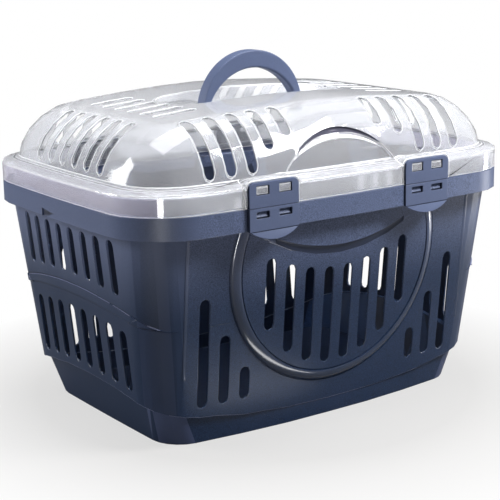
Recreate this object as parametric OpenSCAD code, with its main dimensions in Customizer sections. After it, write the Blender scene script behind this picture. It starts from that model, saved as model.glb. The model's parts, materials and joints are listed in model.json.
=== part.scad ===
// Pet carrier: a vented tub, a clear domed lid, a carrying handle and four folding clips.
// Millimetres. The origin is the middle of the underside, +Z is up and the front faces -Y.

/* [Rim] */
// Length of the rim between its end corners, without the bow of the ends
rim_l = 390; // [370:1:430]
// Width of the rim between its side corners, without the bow of the sides
rim_w = 274; // [262:1:310]
// Corner radius of the rim, seen from above
rim_r = 50; // [45:1:60]
// How far the middle of each long side bows out
bow_side = 6.5; // [4:0.1:8]
// How far the middle of each end bows out
bow_end = 4.5; // [2:0.1:6]
// Height of the downturned rim
rim_h = 18; // [16:0.5:22]
// Thickness of the rim and its top web
rim_t = 2.2; // [1.8:0.1:3]

/* [Tub] */
// Height of the tub, from the floor to the seam with the lid
tub_h = 198; // [190:1:220]
// Thickness of the tub's walls and floor
wall_t = 1.8; // [1.6:0.1:2.6]
// How far the rim stands out from the end walls at its lower edge
end_overhang = 10; // [8:0.5:13]
// How far the rim stands out from the long walls at its lower edge
side_overhang = 16.6; // [14:0.2:18]
// How far each wall leans in from the rim's lower edge to the floor
lean = 17.4; // [12:0.2:20]
// Corner radius of the walls
wall_r = 27; // [22:1:32]
// Length of the flat underside
floor_l = 311; // [290:1:318]
// Width of the flat underside between its side corners
floor_w = 196; // [180:1:204]
// Corner radius of the flat underside
floor_r = 24; // [18:1:30]
// How far the middle of the underside's long edges bows out
floor_bow = 12; // [6:0.5:13]
// Height of the walls' lower edge at the corners of the tub
ledge_z = 33; // [28:1:38]
// How far that edge climbs towards the middle of each end
ledge_climb = 12; // [8:0.5:14]
// How far that edge drops towards the middle of each long side
ledge_drop = 19; // [12:0.5:21]
// How far the walls stand out over the slanted foot
ledge_out = 3.5; // [2:0.1:4.5]

/* [Long side] */
// Radius of the round raised panel at its foot
ring_r = 107.5; // [100:0.5:110]
// Height of the centre of the round panel
ring_z = 140.5; // [136:0.5:146]
// Width of the slope round the panel
ring_bevel = 9.5; // [6:0.5:11]
// How far the round panel stands out from the wall
panel_out = 2.9; // [1.8:0.1:3.4]
// Radius of the brow's lower edge, where it meets the round panel
brow_r = 146; // [138:1:160]
// Height of the lowest point of the brow
brow_z = 145.5; // [142:0.5:150]
// Distance between two neighbouring slots of the long sides
side_pitch = 19.9; // [19:0.1:20.2]
// Width of each wall slot
slot_w = 9.6; // [7:0.1:10.2]

/* [End wall] */
// Distance between two neighbouring slots of the end walls
end_pitch = 20.5; // [18:0.1:20.6]
// Height of the upper row of end slots
upper_row_h = 41; // [36:0.5:42]
// Height of the lower row of end slots
lower_row_h = 52; // [40:0.5:54]
// Height of the middle of the arched step between the two rows
step_z = 115.2; // [112:0.2:118]
// Radius of the arched step
step_r = 510; // [460:5:600]
// How far the wall above the step stands out at its middle
step_out = 2.2; // [1.2:0.1:2.6]

/* [Lid] */
// Thickness of the lid
lid_t = 2; // [1.6:0.1:2.6]
// Height of the lid's skirt
skirt_h = 17.1; // [16:0.1:19]
// Width of the ledge between the skirt and the dome
ledge_w = 14; // [13:0.5:16]
// Rise of the ledge from the skirt to the dome
ledge_rise = 3.5; // [2.5:0.1:4.5]
// Height of the dome above the ledge, at its middle
dome_h = 51.4; // [48:0.1:58]
// Width of the dome's rounded shoulder, seen from above
shoulder_w = 38.6; // [36:0.2:42]
// Share of its height that the dome would lose at its ends
end_fall = 0.24; // [0.18:0.01:0.28]
// Depth of the locating lip that plugs into the tub
lip_h = 4; // [3:0.2:6]
// Width of each lid slot
lid_slot_w = 9.6; // [7:0.1:10]

/* [Handle] */
// Outer width of the handle where it meets the lid
handle_w = 106; // [100:1:114]
// Rise of the handle above its seat
handle_rise = 48; // [44:0.5:56]
// Thickness of the handle at its crown
crown_t = 15.5; // [12:0.1:18]
// Thickness of the handle at its feet
foot_t = 6; // [5.6:0.1:8]
// Depth of the handle from front to back
handle_d = 12.5; // [11:0.1:16]

/* [Clips] */
// Distance of each clip's middle from the middle of the carrier
clip_x = 80; // [76:0.5:84]
// Width of each clip
clip_w = 48; // [44:0.5:50]
// Thickness of each clip
clip_t = 3.4; // [3:0.1:4]
// Height of the fixed upper half of each clip
plate_h = 20; // [19.4:0.1:21]
// Length of the finger tab below the rim at its middle
tab_h = 7.6; // [6:0.1:9]

/* [Hidden] */

navy = "#5a6282";
clear_tint = [0.90, 0.91, 0.93, 0.45];

// Clearances
seam = 0.3;          // between the lid's skirt and the rim
lip_gap = 0.5;       // between the locating lip and the tub's wall
clip_gap = 0.3;      // between a clip and its seat
snap_gap = 0.5;      // round a lug in its window
prong_gap = 0.3;     // round a handle prong in its hole
fold_gap = 0.3;      // between the two halves of a clip at the fold
past = 1;            // how far a cut runs past a face

// Number of steps along each corner, long side and end of an outline
corner_n = 5;
long_n = 6;
end_n = 4;
slot_fn = 8;
ring_n = 36;
outline_n = 4 * corner_n + 2 * long_n + 2 * end_n;

// Heights
rim_z = tub_h - rim_h;
lid_z = tub_h + seam;
skirt_z = lid_z + skirt_h;
base_z = skirt_z + ledge_rise;
seat_z = base_z + dome_h - 13;   // floor of the handle's trough

// Clip places. The fold is at the seam, on the outer face of the clip.
fold_z = tub_h;
seat_sink = 0.8;
seat_y = rim_side(clip_x + clip_w / 2) - seat_sink;
clip_y = seat_y + clip_gap;
fold_y = clip_y + clip_t;
window_w = 12.2;
window_x = 11;
corner_r = 5;

// ---- outlines and lofts ----

function mix(a, b, t) = a + (b - a) * t;

// Y of the rim's outer face on the long side, at x
function rim_side(x) = rim_w / 2 + bow_side * (1 - pow(2 * x / rim_l, 2));

// Centre of corner q of a rounded rectangle
function corner(l, w, r, q) = [(q == 0 || q == 3 ? 1 : -1) * (l / 2 - r), (q < 2 ? 1 : -1) * (w / 2 - r)];

function arc_point(l, w, r, q, i) =
    corner(l, w, r, q) + r * [cos(90 * (q + i / corner_n)), sin(90 * (q + i / corner_n))];

// Points of a rounded rectangle, counter-clockwise from the right end's upper corner
function plain_outline(l, w, r) = [
    for (q = [0 : 3])
        let (steps = q % 2 == 0 ? long_n : end_n)
        let (from = arc_point(l, w, r, q, corner_n))
        let (to = arc_point(l, w, r, (q + 1) % 4, 0))
        for (i = [0 : corner_n + steps - 1])
            i <= corner_n ? arc_point(l, w, r, q, i) : mix(from, to, (i - corner_n) / steps)
];

// The same outline with its sides and ends bowed out
function outline(l, w, r, side, end) = [
    for (p = plain_outline(l, w, r))
        [
            p.x + sign(p.x) * end * (1 - pow(2 * p.y / w, 2)),
            p.y + sign(p.y) * side * (1 - pow(2 * p.x / l, 2))
        ]
];

// The rim's outline moved in by a distance
function rim_outline(in) =
    outline(rim_l - 2 * in, rim_w - 2 * in, max(rim_r - in, 4), bow_side, bow_end);

function ring_at(points, z) = [for (p = points) [p.x, p.y, z]];

function quads(n, k) = [
    for (j = [0 : k - 2])
        for (i = [0 : n - 1])
            let (a = j * n + i)
            let (b = j * n + (i + 1) % n)
            each [[a, b + n, b], [a, a + n, b + n]]
];

// A closed solid through rings of equal count, from the lowest to the highest
module loft(rings) {
    n = len(rings[0]);
    k = len(rings);
    polyhedron(
        points = [for (ring = rings) each ring],
        faces = [
            [for (i = [0 : n - 1]) i],
            each quads(n, k),
            [for (i = [n - 1 : -1 : 0]) (k - 1) * n + i]
        ]
    );
}

// A slot or peg outline standing upright from z0 to z1, with round ends
module stadium(w, z0, z1, depth) {
    rotate([90, 0, 0])
        hull() {
            translate([0, z0 + w / 2, -depth / 2]) cylinder(d = w, h = depth, $fn = slot_fn);
            translate([0, z1 - w / 2, -depth / 2]) cylinder(d = w, h = depth, $fn = slot_fn);
        }
}

// Both the shape and its copy across the middle of the carrier
module both_sides() {
    children();
    mirror([0, 1, 0]) children();
}

module both_ends() {
    children();
    mirror([1, 0, 0]) children();
}

// ---- tub ----

// The mouth's collar, which the lid's lip plugs into, and the shelf under it
collar_in = 7.8;
shelf_z = tub_h - 8;
mouth_in = collar_in + wall_t;

// How far the walls' outer face lies inside the rim's outer face at a height
function end_in(z) = end_overhang + lean * (1 - z / rim_z);
function side_in(z) = side_overhang + lean * (1 - z / rim_z);

// Y of the long wall's outer face
function side_wall(x, z) =
    rim_w / 2 - side_in(z) + bow_side * (1 - pow(2 * x / (rim_l - 2 * end_in(z)), 2));

// The walls' outline at a height, moved in by a distance
function wall_outline(z, in, end_bow) =
    outline(rim_l - 2 * (end_in(z) + in), rim_w - 2 * (side_in(z) + in), wall_r - in, bow_side, end_bow);

module wall_loft(in, z0, z1, end_bow = bow_end) {
    loft([
        ring_at(wall_outline(z0, in, end_bow), z0),
        ring_at(wall_outline(z1, in, end_bow), z1)
    ]);
}

// The slanted foot, which fills the tub below the walls' lower edge
module foot_loft(in, z0) {
    top_z = ledge_z + ledge_climb + 3;
    top_in = ledge_out + in;
    top_r = 18;
    side = rim_w - 2 * (side_in(top_z) + top_in);
    loft([
        ring_at(outline(floor_l - 2 * in, floor_w - 2 * in, floor_r - in, floor_bow, 1), z0),
        ring_at(outline(rim_l - 2 * (end_in(top_z) + top_in), side, top_r - in, bow_side, bow_end), top_z),
        ring_at(wall_outline(top_z, ledge_out + 4 + in, bow_end), top_z + 4)
    ]);
}

// Half length and half width of the walls at their lower edge
ledge_half_l = rim_l / 2 - end_in(ledge_z);
ledge_half_w = rim_w / 2 - side_in(ledge_z);
ledge_r = 40;

// Points along the walls' lower edge: high at the ends, low at the long sides
function ledge_ring(in, lift) = [
    for (p = plain_outline(2 * (ledge_half_l - in), 2 * (ledge_half_w - in), ledge_r - in))
        [
            p.x, p.y,
            ledge_z + lift
                + ledge_climb * (1 - pow(min(abs(p.y) / (ledge_half_w - in), 1), 2))
                - ledge_drop * (1 - pow(min(abs(p.x) / (ledge_half_l - in), 1), 2.6))
        ]
];

// Everything above the walls' lower edge
module above_ledge(in, z1) {
    wide = -30;
    core = 26;
    top_z = ledge_z + ledge_climb + 1;
    loft([
        ring_at(plain_outline(2 * (ledge_half_l - core), 2 * (ledge_half_w - core), ledge_r - core), top_z + in),
        ledge_ring(core / 2, in),
        ledge_ring(wide, in),
        ring_at(plain_outline(2 * (ledge_half_l - wide), 2 * (ledge_half_w - wide), ledge_r - wide), z1)
    ]);
}

// One ring of a cutter that follows the long wall: a circle of radius r at a depth below it
function wall_ring(r, z, depth, n) = [
    for (i = [0 : n - 1])
        let (x = r * cos(360 * i / n))
        let (h = z - r * sin(360 * i / n))
        [x, side_wall(x, h) - depth, h]
];

// A cone that follows the long wall: circle 0 at one depth, circle 1 at a shallower depth.
// Each circle is [radius, height of its centre, depth].
module wall_cone(c0, c1, in) {
    reach = 9;
    overrun = 0.1 * (c1 - c0);
    low = c0 - overrun;
    high = c1 + overrun;
    loft([
        wall_ring(low[0] - in, low[1], in + reach, ring_n),
        wall_ring(low[0] - in, low[1], in + low[2], ring_n),
        wall_ring(high[0] - in, high[1], in + high[2], ring_n),
        wall_ring(high[0] - in, high[1], in - 4 * reach, ring_n)
    ]);
}

// The round panel of a long side, raised from the wall
module round_panel(in, z0, z1) {
    intersection() {
        wall_loft(in - panel_out, z0, z1);
        both_sides()
            wall_cone([ring_r, ring_z, 0], [ring_r - ring_bevel, ring_z, -panel_out], in);
    }
}

// The brow over the round panel: it hangs straight down from the rim and ends in an arc
module brow(in, z1) {
    face_l = rim_l - 2 * (end_in(rim_z) + in);
    face_w = rim_w - 2 * (side_in(rim_z) - panel_out + in);
    brow_rise = 6;
    slope_out = 3.1;
    brow_out = panel_out + slope_out;
    flatter = 1.2;
    face_r = brow_r * flatter;
    intersection() {
        loft([
            for (z = [brow_z - past, z1])
                ring_at(outline(face_l, face_w, wall_r, bow_side, bow_end), z)
        ]);
        both_sides()
            wall_cone([brow_r, brow_z + brow_r, -panel_out],
                [face_r, brow_z + brow_rise + face_r, -brow_out], in);
    }
}

// A flat outline of the end walls, drawn across the tub
module along_tub() {
    rotate([90, 0, 90])
        linear_extrude(2 * rim_l, center = true)
            children();
}

// The upper part of both end walls, which stands out above an arched step
module upper_ends(in, z1) {
    intersection() {
        wall_loft(in, step_z / 2, z1, bow_end + step_out);
        along_tub()
            difference() {
                translate([-rim_w, 0]) square([2 * rim_w, 2 * tub_h]);
                translate([0, step_z + in - step_r]) circle(step_r, $fn = 180);
            }
    }
}

// The groove above the step, which leaves a curved rib between them
module step_groove() {
    groove_r = 410;
    groove_z = step_z + 9.5;
    groove_w = 1.2;
    groove_half = 96;
    difference() {
        along_tub()
            intersection() {
                difference() {
                    translate([0, groove_z - groove_r]) circle(groove_r, $fn = 150);
                    translate([0, groove_z - groove_r - groove_w]) circle(groove_r, $fn = 150);
                }
                translate([-groove_half, 0]) square([2 * groove_half, 2 * tub_h]);
            }
        wall_loft(wall_t / 2, step_z / 2, tub_h, bow_end + step_out);
    }
}

// Raised arrow tips at both ends of the arched step
module step_tips() {
    tip_out = 1.3;
    inner_y = 84;
    inner_drop = 7.8;
    upper_y = 96;
    upper_drop = 2.6;
    point_y = 110;
    point_drop = 10.6;
    intersection() {
        wall_loft(-tip_out, step_z / 2, tub_h);
        both_sides()
            along_tub()
                polygon([
                    [inner_y, step_z - inner_drop],
                    [upper_y, step_z - upper_drop],
                    [point_y, step_z - point_drop]
                ]);
    }
}

// The tub's outer form, or the same form moved in by a wall's thickness
module tub_form(in, z0, z1) {
    intersection() {
        union() {
            wall_loft(in, z0, z1);
            round_panel(in, z0, z1);
            upper_ends(in, z1);
        }
        union() {
            foot_loft(in, z0);
            above_ledge(in, z1 + past);
        }
    }
    brow(in, z1);
}

// Downturned rim under a flat top, with the flat seats of the clips
module rim() {
    difference() {
        loft([ring_at(rim_outline(0), rim_z), ring_at(rim_outline(0), tub_h)]);
        difference() {
            loft([ring_at(rim_outline(rim_t), rim_z - past), ring_at(rim_outline(rim_t), tub_h - rim_t)]);
            both_sides()
                both_ends()
                    clip_pad(rim_z - past, tub_h);
        }
        both_sides()
            both_ends()
                clip_pocket(rim_z - past, tub_h + past);
    }
    both_sides()
        both_ends()
            rim_lugs();
}

// Solid left behind a clip's seat
module clip_pad(z0, z1) {
    translate([clip_x - clip_w / 2 - rim_t, seat_y - rim_t, z0])
        cube([clip_w + 2 * rim_t, 10, z1 - z0]);
}

// Space that a clip's body needs in front of its seat
module clip_pocket(z0, z1) {
    translate([clip_x - clip_w / 2 - clip_gap, seat_y, z0])
        cube([clip_w + 2 * clip_gap, 10, z1 - z0]);
}

// Two wedge lugs that the flap's windows snap over
module rim_lugs() {
    lug_out = 2.4;
    for (side = [-1, 1])
        translate([clip_x + side * window_x - window_w / 2 + snap_gap, seat_y, 0])
            rotate([90, 0, 90])
                linear_extrude(window_w - 2 * snap_gap)
                    polygon([
                        [-rim_t / 2, flap_window_z()[0] + snap_gap],
                        [lug_out, flap_window_z()[0] + snap_gap],
                        [lug_out, flap_window_z()[0] + snap_gap + 0.8],
                        [0, flap_window_z()[1] - snap_gap],
                        [-rim_t / 2, flap_window_z()[1] - snap_gap]
                    ]);
}

function flap_window_z() = [fold_z - 8.2, fold_z - 2.8];

// Slots of one long side: eight in the round panel, three in each lower corner
module side_slots() {
    top_gap = 11;
    low_z = 32;
    low_r = 80.5;
    low_centre = ring_z - 11;
    corner_gap = 12.5;
    corner_rise = ring_r + corner_gap;
    for (i = [0.5 : 1 : 3.5])
        let (x = i * side_pitch)
        both_ends()
            translate([x, 0, 0])
                stadium(slot_w,
                    low_centre - sqrt(low_r * low_r - x * x),
                    brow_z + brow_r - sqrt(pow(brow_r + top_gap, 2) - x * x),
                    rim_w);
    for (i = [4.5 : 1 : 6.5])
        let (x = i * side_pitch)
        both_ends()
            translate([x, 0, 0])
                stadium(slot_w, low_z,
                    ring_z - sqrt(max(pow(corner_rise, 2) - x * x, pow(slot_w * 1.6, 2))),
                    rim_w);
}

// Two rows of eight slots through both end walls
module end_slots() {
    upper_z = 174;
    lower_z = 103;
    sag = 5;
    for (i = [0.5 : 1 : 3.5])
        let (y = i * end_pitch)
        let (drop = sag * pow(i / 3.5, 2))
        both_sides()
            translate([0, y, 0])
                rotate([0, 0, 90]) {
                    stadium(slot_w, upper_z - upper_row_h - drop, upper_z, rim_l);
                    stadium(slot_w, lower_z - lower_row_h - drop, lower_z - drop, rim_l);
                }
}

// Small arrow-shaped hole through the rim, beside the middle of each end
module end_notch() {
    notch_l = 20;
    notch_h = 8;
    both_ends()
        translate([rim_l / 2 + bow_end - rim_t - past, 0, rim_z - 1.5 + notch_h / 2])
            rotate([90, 0, 90])
                linear_extrude(rim_t + 2 * past)
                    polygon([[0, notch_h / 4], [notch_l, -notch_h / 2], [notch_l, notch_h / 2]]);
}

// The collar's form, which stands on the shelf
module collar(in, z0, z1) {
    loft([ring_at(rim_outline(in), z0), ring_at(rim_outline(in), z1)]);
}

module tub() {
    color(navy)
        difference() {
            union() {
                tub_form(0, 0, tub_h - rim_t / 2);
                step_tips();
                collar(collar_in, shelf_z - wall_t, tub_h - rim_t / 2);
                rim();
            }
            tub_form(wall_t, wall_t, shelf_z + past);
            collar(mouth_in, shelf_z, tub_h + past);
            side_slots();
            end_slots();
            step_groove();
            end_notch();
        }
}

// ---- lid ----

// Number of rings up the dome's shoulder, and the bluntness of the shoulder's curve
shoulder_n = 5;
shoulder_power = 1.7;
fall_power = 1.65;

// Half length and half width of the dome's foot
dome_l = rim_l - 2 * ledge_w;
dome_w = rim_w - 2 * ledge_w + 4;
dome_bow = 4.5;

// Height of the dome above the ledge at x, once past the shoulder
function crown(x, h) = h * (1 - end_fall * pow(2 * abs(x) / dome_l, fall_power));

function dome_ring(in, t, h) =
    let (d = shoulder_w * (1 - pow(cos(90 * t), 2 / shoulder_power)))
    let (rise = pow(sin(90 * t), 2 / shoulder_power))
    let (bow = dome_bow * (1 - d / dome_w))
    let (r = max(rim_r - ledge_w - in + 5 - 0.7 * d, 8))
    [
        for (p = outline(dome_l - 2 * (d + in), dome_w - 2 * (d + in), r, bow, bow))
            [p.x, p.y, base_z + rise * crown(p.x, h)]
    ];

// Where each point of a ring meets its mirror image across the X axis
function across(i) = (outline_n - end_n - i + outline_n) % outline_n;

// A loft whose top is closed by strips that run from front to back
module domed_loft(rings) {
    n = outline_n;
    top = (len(rings) - 1) * n;
    half = 2 * corner_n + long_n;
    polyhedron(
        points = [for (ring = rings) each ring],
        faces = [
            [for (i = [0 : n - 1]) i],
            each quads(n, len(rings)),
            for (i = [0 : half - 1])
                each [
                    [top + i, top + across(i), top + i + 1],
                    [top + i + 1, top + across(i), top + across(i + 1)]
                ],
            for (i = [1 : end_n - 1])
                [top + half, top + half + i + 1, top + half + i],
            for (i = [1 : end_n - 1])
                [top + n - end_n, top + (n - end_n + i + 1) % n, top + n - end_n + i]
        ]
    );
}

// The lid's outer form, or the same form moved in by a thickness
module lid_loft(in, z0) {
    edge_r = 2;
    domed_loft([
        ring_at(rim_outline(in), z0),
        ring_at(rim_outline(in), skirt_z - edge_r - in),
        ring_at(rim_outline(in + 0.3 * edge_r), skirt_z - 0.3 * edge_r - in),
        ring_at(rim_outline(in + edge_r), skirt_z + 0.15 * edge_r - in),
        for (i = [0 : shoulder_n])
            [for (p = dome_ring(in, i / shoulder_n, dome_h - in)) [p.x, p.y, p.z - (i == 0 ? in : 0)]]
    ]);
}

// The trough that the handle stands in, between the seat's height and above the dome
module trough(in) {
    past_handle = 29;
    floor_long = handle_w + 2 * past_handle;
    floor_wide = 44;
    wall_h = 18;
    slope = 1.1;
    edge = 1.5;
    loft([
        for (step = [[0, 0], [edge, edge / 2], [slope * wall_h, wall_h]])
            let (grow = in + step[0])
            ring_at(
                plain_outline(floor_long + 2 * grow, floor_wide + 2 * grow, floor_wide / 2 - 1 + grow),
                seat_z + step[1] - in)
    ]);
}

// The arched panel in the middle of the dome's front, with its crescent slope
module arch_panel(in) {
    arch_fn = 48;
    arch_r = 68.5;
    slope_w = 6;
    slope_d = 14;
    arch_top = base_z + 31.5;
    inner_r = 82;
    inner_top = base_z + 25.5;
    slice = 0.5;
    face_y = dome_w / 2 + dome_bow - in;
    hull() {
        translate([0, face_y + 2, arch_top - arch_r])
            rotate([90, 0, 0])
                cylinder(r = arch_r, h = slice, $fn = arch_fn);
        intersection() {
            translate([0, face_y - slope_d, arch_top - arch_r])
                rotate([90, 0, 0])
                    cylinder(r = arch_r - slope_w, h = slice, $fn = arch_fn);
            translate([0, face_y - slope_d + past, inner_top - inner_r])
                rotate([90, 0, 0])
                    cylinder(r = inner_r, h = slice + 2 * past, $fn = arch_fn);
        }
    }
}

// Everything that lies below the ledge, which the arched panels leave alone
module below_ledge() {
    translate([-rim_l, -rim_w, -past])
        cube([2 * rim_l, 2 * rim_w, base_z + past]);
}

module lid_form(in, z0) {
    panel_depth = 1.6;
    difference() {
        union() {
            difference() {
                lid_loft(in, z0);
                difference() {
                    both_sides() arch_panel(in);
                    below_ledge();
                }
            }
            lid_loft(in + panel_depth, z0);
        }
        trough(in);
    }
}

// The bosses that frame the clips on the skirt
module clip_boss() {
    frame = 3;
    frame_top = 1.8;
    boss_w = clip_w + 2 * frame;
    boss_z = lid_z + 0.4;
    deep = ledge_w;
    translate([clip_x, seat_y + seat_sink + 1, 0])
        rotate([90, 0, 0])
            linear_extrude(deep)
                rounded_top(boss_w, boss_z, lid_z + plate_h + frame_top, corner_r + frame);
}

// A plate outline with its two upper corners rounded
module rounded_top(w, z0, z1, r) {
    translate([-w / 2, z0]) square([w, z1 - z0 - r]);
    translate([-w / 2 + r, z0]) square([w - 2 * r, z1 - z0]);
    for (side = [-1, 1])
        translate([side * (w / 2 - r), z1 - r]) circle(r, $fn = 32);
}

module plate_pocket() {
    translate([clip_x, seat_y + 10, 0])
        rotate([90, 0, 0])
            linear_extrude(10)
                rounded_top(clip_w + 2 * clip_gap, lid_z - past, lid_z + plate_h + clip_gap, corner_r);
}

// Lugs that stand through the plate's windows
module lid_lugs() {
    lug_out = clip_t - 0.6;
    for (side = [-1, 1])
        translate([clip_x + side * window_x, seat_y, 0])
            translate([-window_w / 2 + snap_gap, -lid_t / 2, plate_window_z()[0] + snap_gap])
                cube([window_w - 2 * snap_gap, lid_t / 2 + lug_out,
                    plate_window_z()[1] - plate_window_z()[0] - 2 * snap_gap]);
}

function plate_window_z() = [fold_z + 10.4, fold_z + 17.6];

// The lip under the ledge that plugs into the tub's mouth
module lip() {
    lip_in = mouth_in + lip_gap;
    lip_t = 1.8;
    lip_top = skirt_z + ledge_rise / 2;
    difference() {
        loft([
            ring_at(rim_outline(lip_in + 0.4), lid_z - lip_h),
            ring_at(rim_outline(lip_in), lip_top)
        ]);
        loft([
            ring_at(rim_outline(lip_in + lip_t + 0.4), lid_z - lip_h - past),
            ring_at(rim_outline(lip_in + lip_t), base_z + past)
        ]);
    }
}

// A slot over a 45 degree shoulder: (y, z) of its lower end and of its upper end
module shoulder_slot(low, high) {
    w0 = (low.y - low.x) / sqrt(2);
    w1 = (high.y - high.x) / sqrt(2);
    depth = 60;
    mid = (low + high) / 2;
    out = (mid.x + mid.y) / sqrt(2);
    rotate([45, 0, 0])
        translate([0, out, 0])
            stadium(lid_slot_w, w0, w1, depth);
}

// How far a slot's lower end runs past the dome's foot
past_foot = 3;

// Slots over the dome's front and back: five each side of the arched panel
module dome_side_slots() {
    high_in = 35;
    high_h = 46;
    low_h = 4;
    first_climb = 27;
    second_climb = 17;
    high = [dome_w / 2 - high_in, base_z + high_h];
    outer_low = [dome_w / 2 + past_foot, base_z + low_h];
    for (i = [2.4 : 1 : 6.4])
        let (climb = i < 3 ? first_climb : i < 4 ? second_climb : 0)
        let (low = outer_low + climb * [-0.25, 1])
        both_ends()
            both_sides()
                translate([i * side_pitch, 0, 0])
                    shoulder_slot(low, high);
}

// Slots over the dome's ends, and the row of slots behind them on top
module dome_end_slots() {
    low_h = 4;
    high_in = 31;
    high_h = 42;
    top_in = 50;
    top_slot_l = 40;
    depth = 60;
    low = [dome_l / 2 + past_foot, base_z + low_h];
    high = [dome_l / 2 - high_in, base_z + high_h];
    top_from = dome_l / 2 - top_in;
    for (i = [0.5 : 1 : 2.5])
        let (y = i * end_pitch)
        both_sides()
            both_ends()
                translate([0, y, 0]) {
                    rotate([0, 0, -90]) shoulder_slot(low, high);
                    translate([0, 0, base_z + 0.8 * dome_h])
                        rotate([0, 90, 0])
                            rotate([0, 0, 90])
                                stadium(lid_slot_w, top_from - top_slot_l, top_from, depth);
                }
}

// Holes that the handle's prongs pass through
module prong_holes() {
    both_ends()
        translate([prong_x - prong_t / 2 - prong_gap, -prong_w / 2 - prong_gap, seat_z - lid_t - past])
            cube([prong_t + 2 * prong_gap, prong_w + 2 * prong_gap, lid_t + 2 * past]);
}

module lid() {
    color(clear_tint)
        difference() {
            union() {
                difference() {
                    union() {
                        lid_form(0, lid_z);
                        both_sides() both_ends() clip_boss();
                    }
                    difference() {
                        lid_form(lid_t, lid_z - past);
                        both_sides() both_ends() lid_pad();
                    }
                    both_sides() both_ends() plate_pocket();
                }
                lip();
                both_sides() both_ends() lid_lugs();
            }
            dome_side_slots();
            dome_end_slots();
            prong_holes();
        }
}

// Solid left behind the plate's seat
module lid_pad() {
    translate([clip_x - clip_w / 2 - rim_t, seat_y - rim_t, lid_z - past])
        cube([clip_w + 2 * rim_t, 10, plate_h + 2 * past]);
}

// ---- handle ----

prong_t = 3.4;
prong_w = 8;
prong_x = handle_w / 2 - foot_t / 2;

// Half of the cross-section of a disc of radius r, rounded at its rim, for rotate_extrude
module rounded_disc(r, depth, edge) {
    square([r - edge, depth]);
    translate([0, edge]) square([r, depth - 2 * edge]);
    for (y = [edge, depth - edge])
        translate([r - edge, y]) circle(edge, $fn = 24);
}

// The crescent between two circles, both set by the handle's width, rise and thickness
module handle() {
    outer_half = handle_w / 2;
    outer_r = (outer_half * outer_half + handle_rise * handle_rise) / (2 * handle_rise);
    inner_half = outer_half - foot_t;
    inner_rise = handle_rise - crown_t;
    inner_r = (inner_half * inner_half + inner_rise * inner_rise) / (2 * inner_rise);
    outer_edge = 1.4;
    inner_edge = 2.4;
    color(navy)
        union() {
            difference() {
                translate([0, handle_d / 2, seat_z + handle_rise - outer_r])
                    rotate([90, 0, 0])
                        rotate_extrude($fn = 96)
                            rounded_disc(outer_r, handle_d, outer_edge);
                translate([0, handle_d / 2, seat_z + inner_rise - inner_r])
                    rotate([90, 0, 0])
                        rotate_extrude($fn = 96)
                            flared_disc(inner_r, handle_d, inner_edge);
                translate([-handle_w, -handle_d, seat_z - 4 * handle_w])
                    cube([2 * handle_w, 2 * handle_d, 4 * handle_w]);
            }
            both_ends() prong();
        }
}

// A disc that widens towards both faces with rounded flares
module flared_disc(r, depth, edge) {
    difference() {
        translate([0, -past]) square([r + edge, depth + 2 * past]);
        translate([r, edge]) square([2 * edge, depth - 2 * edge]);
        for (y = [edge, depth - edge])
            translate([r + edge, y]) circle(edge, $fn = 24);
    }
}

// A prong that snaps under the lid, with its barb
module prong() {
    barb = 1.2;
    barb_h = 3;
    barb_flat = 0.6;
    grip_z = seat_z - lid_t - prong_gap;
    translate([prong_x - prong_t / 2, -prong_w / 2, grip_z - barb_h])
        cube([prong_t, prong_w, seat_z + past - grip_z + barb_h]);
    translate([prong_x + prong_t / 2 - past / 2, prong_w / 2, grip_z])
        rotate([90, 0, 0])
            linear_extrude(prong_w)
                polygon([
                    [0, 0],
                    [barb + past / 2, 0],
                    [barb + past / 2, -barb_flat],
                    [past / 2, -barb_h],
                    [0, -barb_h]
                ]);
}

// ---- clips ----

// Fixed upper half of a front right clip, drawn in its place
module clip_plate() {
    z = plate_window_z();
    color(navy)
        difference() {
            translate([clip_x, fold_y, 0])
                rotate([90, 0, 0])
                    linear_extrude(clip_t)
                        rounded_top(clip_w, fold_z + fold_gap / 2, lid_z + plate_h, corner_r);
            for (side = [-1, 1])
                translate([clip_x + side * window_x - window_w / 2, clip_y - past, z[0]])
                    cube([window_w, clip_t + 2 * past, z[1] - z[0]]);
        }
}

// Swinging lower half with its two windows. Its finger tab leans outward and ends in an arc.
module clip_flap() {
    z = flap_window_z();
    top = fold_z - fold_gap / 2;
    tab_lean = 18;
    tab_t = clip_t - 0.6;
    tab_out = tab_h * tan(tab_lean);
    arc_r = (clip_w * clip_w / 4 + tab_h * tab_h) / (2 * tab_h);
    color(navy)
        difference() {
            intersection() {
                translate([clip_x - clip_w / 2, 0, 0])
                    rotate([90, 0, 90])
                        linear_extrude(clip_w)
                            polygon([
                                [clip_y, top],
                                [fold_y, top],
                                [fold_y, rim_z],
                                [fold_y + tab_out, rim_z - tab_h],
                                [fold_y + tab_out - tab_t, rim_z - tab_h],
                                [clip_y, rim_z - past]
                            ]);
                translate([clip_x, fold_y + 2 * tab_h, 0])
                    rotate([90, 0, 0])
                        linear_extrude(4 * tab_h)
                            intersection() {
                                translate([-clip_w, rim_z - tab_h]) square([2 * clip_w, 2 * rim_h]);
                                translate([0, rim_z - tab_h + arc_r]) circle(arc_r, $fn = 96);
                            }
            }
            for (side = [-1, 1])
                translate([clip_x + side * window_x - window_w / 2, clip_y - past, z[0]])
                    cube([window_w, clip_t + 2 * past, z[1] - z[0]]);
        }
}

// Puts a front right clip's half at one of the four places
module place(left, rear) {
    mirror([left ? 1 : 0, 0, 0])
        mirror([0, rear ? 0 : 1, 0])
            children();
}

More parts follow.
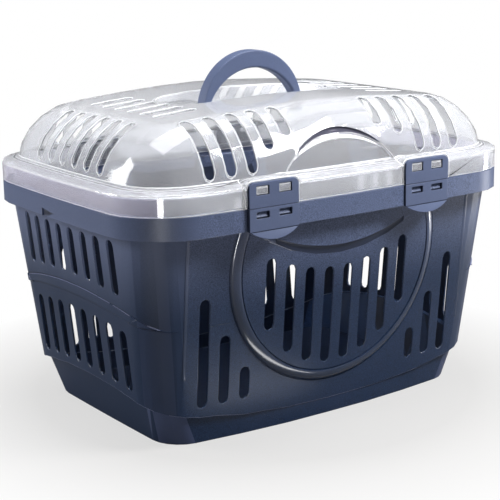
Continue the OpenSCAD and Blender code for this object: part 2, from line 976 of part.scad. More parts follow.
tub();
lid();
handle();
place(true, false) clip_plate();  // front_left_clip_plate
place(false, false) clip_plate();  // front_right_clip_plate
place(true, true) clip_plate();  // rear_left_clip_plate
place(false, true) clip_plate();  // rear_right_clip_plate
place(true, false) clip_flap();  // front_left_clip_flap
place(false, false) clip_flap();  // front_right_clip_flap
place(true, true) clip_flap();  // rear_left_clip_flap
place(false, true) clip_flap();  // rear_right_clip_flap
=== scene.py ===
import json
import math
import bpy
from mathutils import Matrix, Vector

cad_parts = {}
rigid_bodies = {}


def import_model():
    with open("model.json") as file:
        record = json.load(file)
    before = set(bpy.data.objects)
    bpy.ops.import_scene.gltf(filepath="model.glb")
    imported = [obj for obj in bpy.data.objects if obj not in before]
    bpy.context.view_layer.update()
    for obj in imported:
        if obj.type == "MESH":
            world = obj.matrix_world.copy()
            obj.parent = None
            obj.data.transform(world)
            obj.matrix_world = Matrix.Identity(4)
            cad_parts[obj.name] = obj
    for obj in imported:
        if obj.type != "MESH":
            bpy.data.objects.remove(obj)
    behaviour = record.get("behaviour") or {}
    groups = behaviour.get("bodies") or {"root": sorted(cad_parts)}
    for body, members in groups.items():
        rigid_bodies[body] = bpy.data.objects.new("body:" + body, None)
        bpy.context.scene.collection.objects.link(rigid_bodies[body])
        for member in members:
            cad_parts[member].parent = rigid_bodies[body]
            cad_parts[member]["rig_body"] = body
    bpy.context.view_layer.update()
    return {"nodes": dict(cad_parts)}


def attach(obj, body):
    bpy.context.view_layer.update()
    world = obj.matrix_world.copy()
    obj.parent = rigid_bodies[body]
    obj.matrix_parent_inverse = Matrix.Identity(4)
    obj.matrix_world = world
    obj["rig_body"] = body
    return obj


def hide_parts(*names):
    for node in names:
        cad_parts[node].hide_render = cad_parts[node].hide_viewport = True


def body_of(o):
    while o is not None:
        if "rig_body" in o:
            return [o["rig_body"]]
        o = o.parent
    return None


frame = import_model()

nodes = frame["nodes"]
scene = bpy.context.scene


def deselectAll():
    if bpy.context.object and bpy.context.object.mode != "OBJECT":
        bpy.ops.object.mode_set(mode="OBJECT")
    bpy.ops.object.select_all(action="DESELECT")


def pick(obj):
    deselectAll()
    obj.select_set(True)
    bpy.context.view_layer.objects.active = obj


def applyAll(obj):
    pick(obj)
    for mod in list(obj.modifiers):
        bpy.ops.object.modifier_apply(modifier=mod.name)


def addNode(tree, kind, **inputs):
    node = tree.nodes.new(kind)
    for key, value in inputs.items():
        node.inputs[key].default_value = value
    return node


def addRange(tree, fromRange, toRange=(0, 1)):
    node = tree.nodes.new("ShaderNodeMapRange")
    for key, (low, high) in (("From", fromRange), ("To", toRange)):
        node.inputs[key + " Min"].default_value = low
        node.inputs[key + " Max"].default_value = high
    return node


def newMaterial(name):
    mat = bpy.data.materials.new(name)
    mat.use_nodes = True
    return mat, mat.node_tree, mat.node_tree.nodes["Principled BSDF"]


# Navy plastic: a moulded colour with a faint grain. Its colour is painted light: it turns from
# the wall's dark tone to a much paler lit tone towards the rim, standing in for the light from
# above, and the shaded, corner, foot and pale tones are painted shade, sheen and highlights
navyFinish = {
    "wall": (0.012, 0.026, 0.064, 1.0),
    "rim": (0.096, 0.122, 0.212, 1.0),
    "paintedLightZ": (0.10, 0.19),
    "roughness": 0.40,
    "specular": 0.16,
    "polished": {"Roughness": 0.17, "Specular IOR Level": 0.45},
    "shadedLow": (0.006, 0.011, 0.026, 1.0),
    "shadedHigh": (0.030, 0.040, 0.075, 1.0),
    "grainScale": 1200.0,
    "grainDepth": 0.00012,
    "speckle": 0.42,
    "grainEnds": (0.145, 0.149),
    "cornerGrain": 0.2,
    "dotRange": (0.3, 0.7),
    "cloudScale": 9.0,
    "cloudShare": 0.2,
    "wallUpTo": 0.08,
    "corner": (0.026, 0.042, 0.092, 1.0),
    "foot": (0.052, 0.070, 0.140, 1.0),
    "paintedHighlight": (0.200, 0.225, 0.370, 1.0),
}
# Places of the materials on each piece. The lid's and the clips' plain one is at 0
tubTones = {"grained": 0, "polished": 1, "shaded": 2, "paintedHighlight": 3, "corner": 4, "foot": 5}
lidTones = {"edge": 1, "shade": 2, "end": 3}
clipTones = {"shaded": 1}


def navyPlastic(name, grain, paintedLightByHeight, wall="wall", rim="rim"):
    mat, tree, shader = newMaterial(name)
    shader.inputs["Roughness"].default_value = navyFinish["roughness"]
    shader.inputs["Specular IOR Level"].default_value = navyFinish["specular"]
    coords = tree.nodes.new("ShaderNodeTexCoord")
    place = tree.nodes.new("ShaderNodeSeparateXYZ")
    # without painted light by height, the whole piece has the paler lit top tone: painted light
    fade = addRange(tree, navyFinish["paintedLightZ"] if paintedLightByHeight else (-2.0, -1.0))
    fade.interpolation_type = "SMOOTHSTEP"
    cloud = addNode(tree, "ShaderNodeTexNoise", Scale=navyFinish["cloudScale"])
    sway = tree.nodes.new("ShaderNodeMath")
    sway.operation = "MULTIPLY_ADD"
    sway.inputs[1].default_value = navyFinish["cloudShare"]
    ramp = tree.nodes.new("ShaderNodeValToRGB")
    ramp.color_ramp.elements[0].position = navyFinish["wallUpTo"]
    ramp.color_ramp.elements[0].color = navyFinish[wall]
    ramp.color_ramp.elements[1].color = navyFinish[rim]
    tree.links.new(coords.outputs["Object"], place.inputs["Vector"])
    tree.links.new(place.outputs["Z"], fade.inputs["Value"])
    tree.links.new(coords.outputs["Object"], cloud.inputs["Vector"])
    tree.links.new(cloud.outputs["Fac"], sway.inputs[0])
    tree.links.new(fade.outputs["Result"], sway.inputs[2])
    tree.links.new(sway.outputs["Value"], ramp.inputs["Fac"])
    speckle = addNode(tree, "ShaderNodeTexNoise", Scale=navyFinish["grainScale"])
    bump = addNode(tree, "ShaderNodeBump", Distance=navyFinish["grainDepth"])
    sideways = tree.nodes.new("ShaderNodeMath")
    sideways.operation = "ABSOLUTE"
    cover = addRange(tree, navyFinish["grainEnds"], (grain, grain * navyFinish["cornerGrain"]))
    speckles = navyFinish["speckle"]
    dots = addRange(tree, navyFinish["dotRange"], (-speckles, speckles))
    tone = tree.nodes.new("ShaderNodeMath")
    tone.operation = "MULTIPLY_ADD"
    tone.inputs[2].default_value = 1
    dotted = tree.nodes.new("ShaderNodeVectorMath")
    dotted.operation = "SCALE"
    tree.links.new(place.outputs["X"], sideways.inputs[0])
    tree.links.new(sideways.outputs["Value"], cover.inputs["Value"])
    tree.links.new(cover.outputs["Result"], bump.inputs["Strength"])
    tree.links.new(dots.outputs["Result"], tone.inputs[0])
    tree.links.new(cover.outputs["Result"], tone.inputs[1])
    tree.links.new(coords.outputs["Object"], speckle.inputs["Vector"])
    tree.links.new(speckle.outputs["Fac"], dots.inputs["Value"])
    tree.links.new(ramp.outputs["Color"], dotted.inputs["Vector"])
    tree.links.new(tone.outputs["Value"], dotted.inputs["Scale"])
    tree.links.new(dotted.outputs["Vector"], shader.inputs["Base Color"])
    tree.links.new(speckle.outputs["Fac"], bump.inputs["Height"])
    tree.links.new(bump.outputs["Normal"], shader.inputs["Normal"])
    return mat


# Clear plastic of the lid: glass with a slight milky veil, more of it at grazing angles
lidFinish = {
    "colour": (0.90, 0.91, 0.94, 1.0),
    # shade: the crescents' dark colour, a painted shade
    "shade": (0.075, 0.075, 0.11, 1.0),
    # end: the skirt's ends painted greyer, a painted shade
    "end": (0.78, 0.76, 0.87, 1.0),
    "roughness": 0.08,
    "ior": 1.38,
    "faceClear": 0.82,
    "edgeClear": 0.70,
    # roundedClear: the rounded edges are nearly opaque white, a painted highlight
    "roundedClear": 0.08,
    "shadeClear": 0.0,
    "veil": 0.35,
    "shadeRoughness": 0.6,
    "shadeSpecular": 0.1,
    "lampsThrough": 0.06,
}


def clearPlastic(name, faceClear, edgeClear, colour):
    mat, tree, shader = newMaterial(name)
    shader.inputs["Base Color"].default_value = colour
    shader.inputs["Roughness"].default_value = lidFinish["roughness"]
    shader.inputs["IOR"].default_value = lidFinish["ior"]
    layer = addNode(tree, "ShaderNodeLayerWeight", Blend=lidFinish["veil"])
    clear = addRange(tree, (0, 1), (faceClear, edgeClear))
    tree.links.new(layer.outputs["Facing"], clear.inputs["Value"])
    tree.links.new(clear.outputs["Result"], shader.inputs["Transmission Weight"])
    path = tree.nodes.new("ShaderNodeLightPath")
    passing = tree.nodes.new("ShaderNodeMath")
    passing.operation = "MULTIPLY"
    passing.inputs[1].default_value = lidFinish["lampsThrough"]
    gone = tree.nodes.new("ShaderNodeBsdfTransparent")
    mix = tree.nodes.new("ShaderNodeMixShader")
    tree.links.new(path.outputs["Is Shadow Ray"], passing.inputs[0])
    tree.links.new(passing.outputs["Value"], mix.inputs[0])
    tree.links.new(shader.outputs["BSDF"], mix.inputs[1])
    tree.links.new(gone.outputs["BSDF"], mix.inputs[2])
    tree.links.new(mix.outputs["Shader"], tree.nodes["Material Output"].inputs["Surface"])
    return mat


# How a copied mesh is cleaned and smoothed. The thin level faces at thinZ, which taper to
# nothing, keep their triangles, so that rounding can't turn them over
cleaning = {
    "merge": 0.00001, "flat": math.radians(0.2), "thinZ": (0.187, 0.1915), "thinLevel": 0.99,
    "bevelSteps": 2, "normalWeight": 80,
}


def selectBroadFaces(obj):
    low, high = cleaning["thinZ"]
    for face in obj.data.polygons:
        thin = abs(face.normal.z) > cleaning["thinLevel"] and low < face.center.z < high
        face.select = not thin


def pieceFromNode(nodeName, mats, slot, angle, rounding, reshape, edgeTone=-1):
    node = nodes[nodeName]
    obj = bpy.data.objects.new(nodeName + "_shell", node.data.copy())
    scene.collection.objects.link(obj)
    pick(obj)
    bpy.ops.object.mode_set(mode="EDIT")
    bpy.ops.mesh.select_all(action="SELECT")
    bpy.ops.mesh.remove_doubles(threshold=cleaning["merge"])
    bpy.ops.mesh.select_mode(type="FACE")
    bpy.ops.mesh.select_all(action="DESELECT")
    bpy.ops.object.mode_set(mode="OBJECT")
    selectBroadFaces(obj)
    bpy.ops.object.mode_set(mode="EDIT")
    bpy.ops.mesh.dissolve_limited(angle_limit=cleaning["flat"])
    bpy.ops.object.mode_set(mode="OBJECT")
    obj.data.materials.clear()
    for mat in mats:
        obj.data.materials.append(mat)
    if rounding:
        mod = obj.modifiers.new("rounding", "BEVEL")
        mod.material = edgeTone
        mod.width = rounding
        mod.segments = cleaning["bevelSteps"]
        mod.limit_method = "ANGLE"
        mod.angle_limit = math.radians(angle)
        mod.use_clamp_overlap = False
        applyAll(obj)
    reshape(obj)
    pick(obj)
    bpy.ops.object.shade_smooth_by_angle(angle=math.radians(angle))
    even = obj.modifiers.new("even", "WEIGHTED_NORMAL")
    even.keep_sharp = True
    even.weight = cleaning["normalWeight"]
    applyAll(obj)
    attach(obj, body_of(node)[0])
    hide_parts(nodeName)


# Raised ring round each long side's panel, with a fine groove along both of its edges, and a
# cove behind the brow over it, its faces painted dark as painted shade. "half" is half a ring's
# width and thickness, "open" how far a cutter stands out, and "cuts" are the planes that end it
belowRim = (((0, 0, 0.1815), (0, 0, 1)),)
ringShape = {
    "centre": 0.1405,
    "panelR": 0.1075,
    "bevel": 0.0095,
    "panelOut": 0.0029,
    "steps": 180,
    "tubeSteps": 16,
    "tubeR": 0.001,
    "tip": 0.04,
    "roll": {"radius": 0.1029, "half": (0.0043, 0.0016), "cuts": belowRim},
    "grooves": (
        {"radius": 0.0981, "half": (0.0006, 0.0010), "cuts": belowRim},
        {"radius": 0.1079, "half": (0.0006, 0.0010), "cuts": belowRim}),
    "cove": {
        "radius": 0.1432, "half": (0.0055, 0.0032), "centre": 0.2915, "reach": 0.092,
        "lift": 0.0031, "open": 0.0045,
        "cuts": (
            ((0.068, 0, 0), (1, 0, 0)),
            ((-0.068, 0, 0), (-1, 0, 0)),
            ((0, 0, 0.1795), (0, 0, 1)))},
}

# The tub's walls at the rim's lower edge, in half lengths and widths, how far they lean in on the
# way down to the floor, and how far the long ones bow out
wall = {
    "halfL": 0.195, "halfW": 0.137, "endIn": 0.010, "sideIn": 0.0166,
    "lean": 0.0174, "rimZ": 0.180, "bow": 0.0065,
}

# Crescent over the lid's arched panels, its faces painted dark as painted shade, with a rib under
# it in the lid's white edge tone as a painted highlight, and the walls they lie on
arch = {
    "crescent": {
        "radius": 0.0775, "half": (0.0031, 0.0030), "centre": 0.1692, "reach": 0.045,
        "open": 0.004,
        "cuts": (
            ((0.0435, 0, 0), (1, 0, 0)),
            ((-0.0435, 0, 0), (-1, 0, 0)),
            ((0, 0, 0.20), (0, 0, -1)))},
    "rib": {
        "radius": 0.089, "half": (0.0017, 0.0009), "centre": 0.1528, "reach": 0.055,
        "cuts": (
            ((0.047, 0, 0), (1, 0, 0)),
            ((-0.047, 0, 0), (-1, 0, 0)),
            ((0, 0, 0.20), (0, 0, -1)))},
    "dome": {
        "y": 0.1204, "z": 0.247, "bendZ": 0.245,
        "leanHigh": 0.77, "leanLow": 0.45, "bow": 0.67},
    "panel": {"y": 0.1195, "z": 0.245, "lean": 0.45, "bow": 0.44},
}


def wallY(x, z):
    down = wall["lean"] * (1 - z / wall["rimZ"])
    half = wall["halfL"] - wall["endIn"] - down
    return wall["halfW"] - wall["sideIn"] - down + wall["bow"] * (1 - (x / half) ** 2)


def roundPanelY(x, z):
    r = math.hypot(x, z - ringShape["centre"])
    raised = min(max((ringShape["panelR"] - r) / ringShape["bevel"], 0), 1)
    return wallY(x, z) + ringShape["panelOut"] * raised


def archPanelY(x, z):
    flat = arch["panel"]
    return flat["y"] + flat["lean"] * (flat["z"] - z) - flat["bow"] * x * x


def domeY(x, z):
    dome = arch["dome"]
    high = dome["leanHigh"] * (dome["z"] - max(z, dome["bendZ"]))
    low = dome["leanLow"] * (dome["bendZ"] - min(z, dome["bendZ"]))
    return dome["y"] + high + low - dome["bow"] * x * x


def laidRing(name, shape, surfaceY, side):
    # a torus, flattened, then laid along a bowed wall
    deselectAll()
    centre = shape.get("centre", ringShape["centre"])
    tubeR = ringShape["tubeR"]
    bpy.ops.mesh.primitive_torus_add(
        major_radius=shape["radius"], minor_radius=tubeR,
        major_segments=ringShape["steps"], minor_segments=ringShape["tubeSteps"],
        location=(0, 0, centre), rotation=(math.radians(90), 0, 0))
    ring = bpy.context.object
    ring.name = name
    bpy.ops.object.transform_apply(location=True, rotation=True, scale=True)
    reach = shape.get("reach")
    for v in ring.data.vertices:
        across, up = v.co.x, v.co.z - centre
        taper = 1 if reach is None else max(ringShape["tip"], 1 - (across / reach) ** 2)
        r = math.hypot(across, up)
        newR = shape["radius"] + (r - shape["radius"]) / tubeR * shape["half"][0] * taper
        x, z = across / r * newR, centre + up / r * newR
        deep = v.co.y / tubeR
        if deep > 0 or "open" not in shape:
            deep *= shape["half"][1] * taper
        else:
            deep *= shape["open"]
        v.co = (x, side * (surfaceY(x, z) + shape.get("lift", 0) * taper - deep), z)
    bpy.ops.object.mode_set(mode="EDIT")
    bpy.ops.mesh.select_all(action="SELECT")
    bpy.ops.mesh.normals_make_consistent(inside=False)
    for spot, normal in shape["cuts"]:
        bpy.ops.mesh.select_all(action="SELECT")
        bpy.ops.mesh.bisect(plane_co=spot, plane_no=normal, use_fill=True, clear_outer=True)
    bpy.ops.object.mode_set(mode="OBJECT")
    return ring


def combine(obj, tool, operation, tone):
    for mat in obj.data.materials:
        tool.data.materials.append(mat)
    for face in tool.data.polygons:
        face.material_index = tone
    pick(obj)
    mod = obj.modifiers.new("combine", "BOOLEAN")
    mod.operation = operation
    mod.solver = "MANIFOLD"
    mod.object = tool
    bpy.ops.object.modifier_apply(modifier=mod.name)
    bpy.data.objects.remove(tool, do_unlink=True)


# Upright edge between the smooth corner and the grained long wall, tapering to its foot
corner = {"x": 0.147, "half": (0.0016, 0.0006), "z": (0.06, 0.1815), "sides": 12, "foot": 0.15}


def cornerEdge(end, side):
    deselectAll()
    low, high = corner["z"]
    bpy.ops.mesh.primitive_cylinder_add(
        vertices=corner["sides"], radius=1, depth=high - low, location=(0, 0, (low + high) / 2))
    edge = bpy.context.object
    edge.name = "edge"
    bpy.ops.object.transform_apply(location=True, rotation=True, scale=True)
    wide, thick = corner["half"]
    for v in edge.data.vertices:
        taper = 1 if v.co.z > (low + high) / 2 else corner["foot"]
        x = end * corner["x"] + v.co.x * wide
        v.co = (x, side * (wallY(corner["x"], v.co.z) + v.co.y * thick * taper), v.co.z)
    bpy.ops.object.mode_set(mode="EDIT")
    bpy.ops.mesh.select_all(action="SELECT")
    bpy.ops.mesh.normals_make_consistent(inside=False)
    bpy.ops.object.mode_set(mode="OBJECT")
    return edge


def addRings(obj):
    for side in (-1, 1):
        roll = laidRing("roll", ringShape["roll"], roundPanelY, side)
        combine(obj, roll, "UNION", tubTones["polished"])
        for groove in ringShape["grooves"]:
            cutter = laidRing("groove", groove, roundPanelY, side)
            combine(obj, cutter, "DIFFERENCE", tubTones["grained"])
        # the cove's faces are painted in the shaded tone: painted shade under the brow
        cove = laidRing("cove", ringShape["cove"], roundPanelY, side)
        combine(obj, cove, "DIFFERENCE", tubTones["shaded"])
        for end in (-1, 1):
            combine(obj, cornerEdge(end, side), "UNION", tubTones["polished"])


# The tub's lugs stand in the shade of the clips' lower windows
lugs = {"x": 0.080, "apart": 0.011, "half": 0.007, "z": (0.190, 0.1985), "faceY": 0.1425}


def shadeLugs(obj):
    low, high = lugs["z"]
    for face in obj.data.polygons:
        spot = face.center
        offLug = abs(abs(abs(spot.x) - lugs["x"]) - lugs["apart"])
        if offLug < lugs["half"] and abs(spot.y) > lugs["faceY"] and low < spot.z < high:
            face.material_index = tubTones["shaded"]


# The clips' window edges and sides lie in the shade too, and a groove parts flap and finger tab
clipShape = {
    "x": 0.080, "apart": 0.011, "half": 0.0067, "z": ((0.1892, 0.1958), (0.2078, 0.2162)),
    "frontFacing": 0.5, "sideFacing": 0.8,
    "grooveZ": 0.1796, "grooveY": 0.1448, "grooveSize": (0.06, 0.0012, 0.0007),
}


def shadeWindows(obj):
    for face in obj.data.polygons:
        spot = face.center
        offWindow = abs(abs(abs(spot.x) - clipShape["x"]) - clipShape["apart"])
        level = any(low < spot.z < high for low, high in clipShape["z"])
        inWindow = offWindow < clipShape["half"] and level
        edgeOn = abs(face.normal.y) < clipShape["frontFacing"]
        if inWindow and edgeOn or abs(face.normal.x) > clipShape["sideFacing"]:
            face.material_index = clipTones["shaded"]


def shapeFlap(obj):
    middle = sum((v.co for v in obj.data.vertices), Vector()) / len(obj.data.vertices)
    deselectAll()
    bpy.ops.mesh.primitive_cube_add(size=1, location=(
        math.copysign(clipShape["x"], middle.x), math.copysign(clipShape["grooveY"], middle.y),
        clipShape["grooveZ"]))
    tool = bpy.context.object
    tool.scale = clipShape["grooveSize"]
    bpy.ops.object.transform_apply(location=True, rotation=True, scale=True)
    # the groove's faces are painted in the shaded tone: painted shade
    combine(obj, tool, "DIFFERENCE", clipTones["shaded"])
    shadeWindows(obj)


# The inner faces of the walls and the floor are in shade, below the part that the lid shows
inside = {"top": 0.165, "endX": 0.165, "sideY": 0.10, "floorZ": 0.03, "facing": 0.5}


def outward(face):
    # how far a face looks to its own end and to its own long side
    spot, normal = face.center, face.normal
    return normal.x * math.copysign(1, spot.x), normal.y * math.copysign(1, spot.y)


def shadeInside(obj):
    facing = inside["facing"]
    for face in obj.data.polygons:
        spot = face.center
        toEnd, toSide = outward(face)
        ofEnd = abs(spot.x) > inside["endX"] and toEnd < -facing
        ofSide = abs(spot.y) > inside["sideY"] and toSide < -facing
        ofFloor = spot.z < inside["floorZ"] and face.normal.z > facing
        if spot.z < inside["top"] and (ofEnd or ofSide or ofFloor):
            face.material_index = tubTones["shaded"]


# Fine pale and dark lines along the arched steps of the ends and along the foot, on the narrow
# faces that look up or down there: the pale ones a painted highlight, the dark ones painted shade
paintedLines = {
    "endX": 0.165, "archZ": (0.092, 0.136), "tilt": 0.35, "length": 0.005,
    "sideFoot": (0.0133, 0.0300), "endFoot": (0.0340, 0.0460), "edge": (0.2, 0.9),
    "height": 0.0045,
}


def extent(obj, face, axis):
    values = [obj.data.vertices[i].co[axis] for i in face.vertices]
    return min(values), max(values)


def paintLineHighlightAndShade(obj):
    soft, hard = paintedLines["edge"]
    archLow, archHigh = paintedLines["archZ"]
    for face in obj.data.polygons:
        spot, up = face.center, face.normal.z
        onEnd = abs(spot.x) > paintedLines["endX"]
        nearY, farY = extent(obj, face, 1)
        onArch = onEnd and archLow < spot.z < archHigh and farY - nearY > paintedLines["length"]
        if onArch and abs(up) > paintedLines["tilt"]:
            face.material_index = tubTones["paintedHighlight" if up > 0 else "shaded"]
        low, high = paintedLines["endFoot"] if onEnd else paintedLines["sideFoot"]
        lowest, highest = extent(obj, face, 2)
        if highest - lowest < paintedLines["height"] and low < spot.z < high and up < -soft:
            face.material_index = tubTones["shaded" if up < -hard else "paintedHighlight"]


# The upright corners of the wall, from the floor to under the rim, are painted a paler tone as a
# painted sheen, and the foot's corners a paler one again as a painted highlight
cornerSheen = {
    "turn": 0.3, "footTurn": 0.2, "outside": (0.125, 0.080),
    "low": 0.150, "top": 0.190, "floor": 0.002,
}


def paintCornerSheen(obj):
    outX, outY = cornerSheen["outside"]
    for face in obj.data.polygons:
        lowest, highest = extent(obj, face, 2)
        atFoot = lowest < cornerSheen["floor"]
        onWall = lowest < cornerSheen["low"] and highest < cornerSheen["top"]
        turned = min(outward(face)) > cornerSheen["footTurn" if atFoot else "turn"]
        outside = abs(face.center.x) > outX and abs(face.center.y) > outY
        if turned and outside and onWall:
            face.material_index = tubTones["foot" if atFoot else "corner"]


def shapeTub(obj):
    paintCornerSheen(obj)
    paintLineHighlightAndShade(obj)
    addRings(obj)
    shadeLugs(obj)
    shadeInside(obj)


# The ends of the lid's skirt are painted greyer than its long sides: painted shade
skirtEndShade = {"x": 0.170, "facing": 0.6, "top": 0.212}


def shadeSkirtEnds(obj):
    for face in obj.data.polygons:
        spot = face.center
        atEnd = abs(spot.x) > skirtEndShade["x"] and spot.z < skirtEndShade["top"]
        if atEnd and outward(face)[0] > skirtEndShade["facing"]:
            face.material_index = lidTones["end"]


def shapeLid(obj):
    shadeSkirtEnds(obj)
    for side in (-1, 1):
        rib = laidRing("rib", arch["rib"], archPanelY, side)
        combine(obj, rib, "UNION", lidTones["edge"])
        crescent = laidRing("crescent", arch["crescent"], domeY, side)
        combine(obj, crescent, "DIFFERENCE", lidTones["shade"])


# How far the handle's feet reach down into the lid. Only their soles, not the prongs, lie so far
# off its middle plane
feet = {"depth": 0.007, "offMiddle": 0.005, "level": 0.0002}


def sinkFeet(obj):
    seat = min(v.co.z for v in obj.data.vertices if abs(v.co.y) > feet["offMiddle"])
    pick(obj)
    bpy.ops.object.mode_set(mode="EDIT")
    bpy.ops.mesh.select_mode(type="VERT")
    bpy.ops.mesh.select_all(action="DESELECT")
    bpy.ops.object.mode_set(mode="OBJECT")
    for v in obj.data.vertices:
        v.select = abs(v.co.z - seat) < feet["level"]
    bpy.ops.object.mode_set(mode="EDIT")
    bpy.ops.transform.translate(value=(0, 0, -feet["depth"]))
    bpy.ops.object.mode_set(mode="OBJECT")


navyGrained = navyPlastic("navy_grained", 1.0, True)
# the handle and the clips are painted all over in the paler lit top tone: painted light
navySmoothLit = navyPlastic("navy_smooth_lit", 0.1, False)
navyPolished = navyPlastic("navy_polished", 0.2, True)
polished = navyPolished.node_tree.nodes["Principled BSDF"]
for socket, value in navyFinish["polished"].items():
    polished.inputs[socket].default_value = value
navyShaded = navyPlastic("navy_shaded", 0.3, True, "shadedLow", "shadedHigh")
# painted highlight for the fine lines on the steps and the foot
navyHighlightLines = navyPlastic("navy_highlight_lines", 0.1, True, "paintedHighlight", "paintedHighlight")
# painted sheen on the upright corners
navyCornerSheen = navyPlastic("navy_corner_sheen", 0.2, True, "corner", "rim")
# painted highlight on the foot's corners
navyFootHighlight = navyPlastic("navy_foot_highlight", 0.1, True, "foot", "foot")
clearLid = clearPlastic(
    "clear_lid", lidFinish["faceClear"], lidFinish["edgeClear"], lidFinish["colour"])
# rounded edges and the rib in nearly opaque white: painted highlight
clearEdgeHighlight = clearPlastic(
    "clear_lid_edge_highlight", lidFinish["roundedClear"], lidFinish["roundedClear"], lidFinish["colour"])
clearEndShade = clearPlastic(
    "clear_lid_end_shade", lidFinish["faceClear"], lidFinish["edgeClear"], lidFinish["end"])
clearShade = clearPlastic(
    "clear_lid_shade", lidFinish["shadeClear"], lidFinish["shadeClear"], lidFinish["shade"])
dull = clearShade.node_tree.nodes["Principled BSDF"]
dull.inputs["Roughness"].default_value = lidFinish["shadeRoughness"]
dull.inputs["Specular IOR Level"].default_value = lidFinish["shadeSpecular"]
print("materials done")

# Each piece's slot, the angle in degrees from which an edge is sharp, and its edges' rounding
tubPiece = {"slot": "navy_body", "angle": 35, "rounding": 0.0004}
lidPiece = {"slot": "clear_lid", "angle": 35, "rounding": 0.0005}
handlePiece = {"slot": "navy_trim", "angle": 30, "rounding": 0}
clipPiece = {"slot": "navy_trim", "angle": 30, "rounding": 0.0005}

tubMats = (navyGrained, navyPolished, navyShaded, navyHighlightLines, navyCornerSheen, navyFootHighlight)
pieceFromNode("tub", tubMats, reshape=shapeTub, edgeTone=tubTones["polished"], **tubPiece)
lidMats = (clearLid, clearEdgeHighlight, clearShade, clearEndShade)
pieceFromNode("lid", lidMats, reshape=shapeLid, edgeTone=lidTones["edge"], **lidPiece)
pieceFromNode("handle", (navySmoothLit,), reshape=sinkFeet, **handlePiece)
for nodeName in nodes:
    if "clip" in nodeName:
        reshape = shapeFlap if "flap" in nodeName else shadeWindows
        pieceFromNode(nodeName, (navySmoothLit, navyShaded), reshape=reshape, **clipPiece)
print("pieces done")


# Floor, backdrop and light. Between whiteFrom and whiteTo from the middle, the floor turns to
# pure white
room = {
    "floorColour": (0.30, 0.29, 0.28, 1.0),
    "floorSize": 6.0,
    "floorRoughness": 0.6,
    "whiteFrom": 0.20,
    "whiteTo": 0.34,
    "nearWhite": 0.64,
    "worldColour": (0.93, 0.96, 1.0, 1),
    "worldStrength": 0.12,
}


def straightRays(tree):
    # camera rays and the rays that pass through the lid
    path = tree.nodes.new("ShaderNodeLightPath")
    either = tree.nodes.new("ShaderNodeMath")
    either.operation = "MAXIMUM"
    tree.links.new(path.outputs["Is Camera Ray"], either.inputs[0])
    tree.links.new(path.outputs["Is Transmission Ray"], either.inputs[1])
    return either.outputs["Value"]


def makeFloor():
    deselectAll()
    bpy.ops.mesh.primitive_plane_add(size=room["floorSize"], location=(0, 0, 0))
    floor = bpy.context.object
    floor.name = "floor"
    mat, tree, shader = newMaterial("pale_floor")
    shader.inputs["Base Color"].default_value = room["floorColour"]
    shader.inputs["Roughness"].default_value = room["floorRoughness"]
    coords = tree.nodes.new("ShaderNodeTexCoord")
    far = tree.nodes.new("ShaderNodeVectorMath")
    far.operation = "LENGTH"
    fade = addRange(tree, (room["whiteFrom"], room["whiteTo"]), (room["nearWhite"], 1))
    glow = addNode(tree, "ShaderNodeEmission", Strength=1.0)
    glow.inputs["Color"].default_value = (1, 1, 1, 1)
    seen = tree.nodes.new("ShaderNodeMath")
    seen.operation = "MULTIPLY"
    mix = tree.nodes.new("ShaderNodeMixShader")
    tree.links.new(coords.outputs["Object"], far.inputs[0])
    tree.links.new(far.outputs["Value"], fade.inputs["Value"])
    tree.links.new(fade.outputs["Result"], seen.inputs[0])
    tree.links.new(straightRays(tree), seen.inputs[1])
    tree.links.new(seen.outputs["Value"], mix.inputs[0])
    tree.links.new(shader.outputs["BSDF"], mix.inputs[1])
    tree.links.new(glow.outputs["Emission"], mix.inputs[2])
    tree.links.new(mix.outputs["Shader"], tree.nodes["Material Output"].inputs["Surface"])
    floor.data.materials.append(mat)


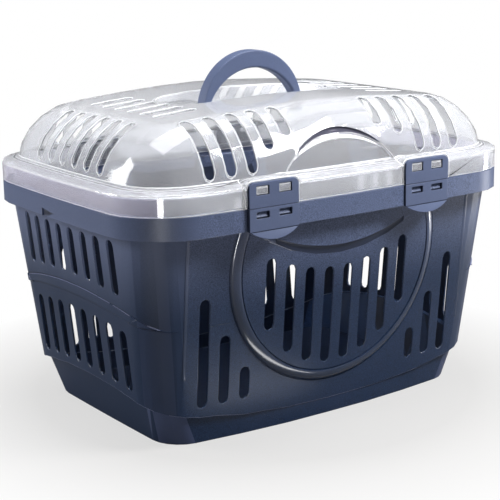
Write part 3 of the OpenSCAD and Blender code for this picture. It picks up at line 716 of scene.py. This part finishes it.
def makeWorld():
    world = bpy.data.worlds.new("studio")
    scene.world = world
    world.use_nodes = True
    tree = world.node_tree
    tree.nodes.clear()
    soft = addNode(tree, "ShaderNodeBackground", Strength=room["worldStrength"])
    soft.inputs["Color"].default_value = room["worldColour"]
    white = addNode(tree, "ShaderNodeBackground", Strength=1.0)
    white.inputs["Color"].default_value = (1, 1, 1, 1)
    mix = tree.nodes.new("ShaderNodeMixShader")
    out = tree.nodes.new("ShaderNodeOutputWorld")
    tree.links.new(straightRays(tree), mix.inputs[0])
    tree.links.new(soft.outputs["Background"], mix.inputs[1])
    tree.links.new(white.outputs["Background"], mix.inputs[2])
    tree.links.new(mix.outputs["Shader"], out.inputs["Surface"])


def addSoftbox(name, place, target, size, power):
    deselectAll()
    bpy.ops.object.light_add(type="AREA", location=place)
    lamp = bpy.context.object
    lamp.name = name
    lamp.data.shape = "RECTANGLE"
    lamp.data.size, lamp.data.size_y = size
    lamp.data.energy = power
    lamp.rotation_euler = (Vector(target) - Vector(place)).to_track_quat("-Z", "Y").to_euler()
    return lamp


def makeCamera():
    eye = {
        "place": (-0.69218, -0.98451, 0.41085),
        "right": (0.81681, -0.57665, -0.01712),
        "up": (0.14731, 0.17979, 0.97261),
        "lens": 97.82,
    }
    right, up = Vector(eye["right"]), Vector(eye["up"])
    data = bpy.data.cameras.new("camera")
    cam = bpy.data.objects.new("camera", data)
    scene.collection.objects.link(cam)
    turn = Matrix((right, up, right.cross(up))).transposed()
    cam.matrix_world = Matrix.Translation(eye["place"]) @ turn.to_4x4()
    data.sensor_width = 36
    data.lens = eye["lens"]
    scene.camera = cam


# Place, target, size and watts. The glints are seen only in gloss
softboxes = {
    "top": ((0.0, 0.1, 1.5), (0, 0, 0.1), (1.2, 0.8), 18),
    "left": ((-1.15, 0.85, 0.7), (-0.2, 0, 0.15), (0.5, 0.8), 17),
    "key": ((0.5, -0.62, 0.85), (0.05, -0.14, 0.19), (0.35, 0.35), 15),
    "glint_low": ((-0.045, -0.168, 0.004), (-0.045, -0.16, 0.2), (0.12, 0.02), 0.09),
    "glint_right": ((0.62, -0.26, 0.07), (0.09, -0.14, 0.16), (0.1, 0.2), 1.5),
    "glint_corner": ((-0.62, -0.62, 0.10), (-0.16, -0.1, 0.09), (0.12, 0.3), 4.2),
}

makeFloor()
makeWorld()
for name, (place, target, size, power) in softboxes.items():
    lamp = addSoftbox(name, place, target, size, power)
    if name.startswith("glint"):
        lamp.visible_camera = False
        lamp.visible_diffuse = False
        lamp.visible_transmission = False
makeCamera()
scene.view_settings.view_transform = "Standard"
print("stage done")
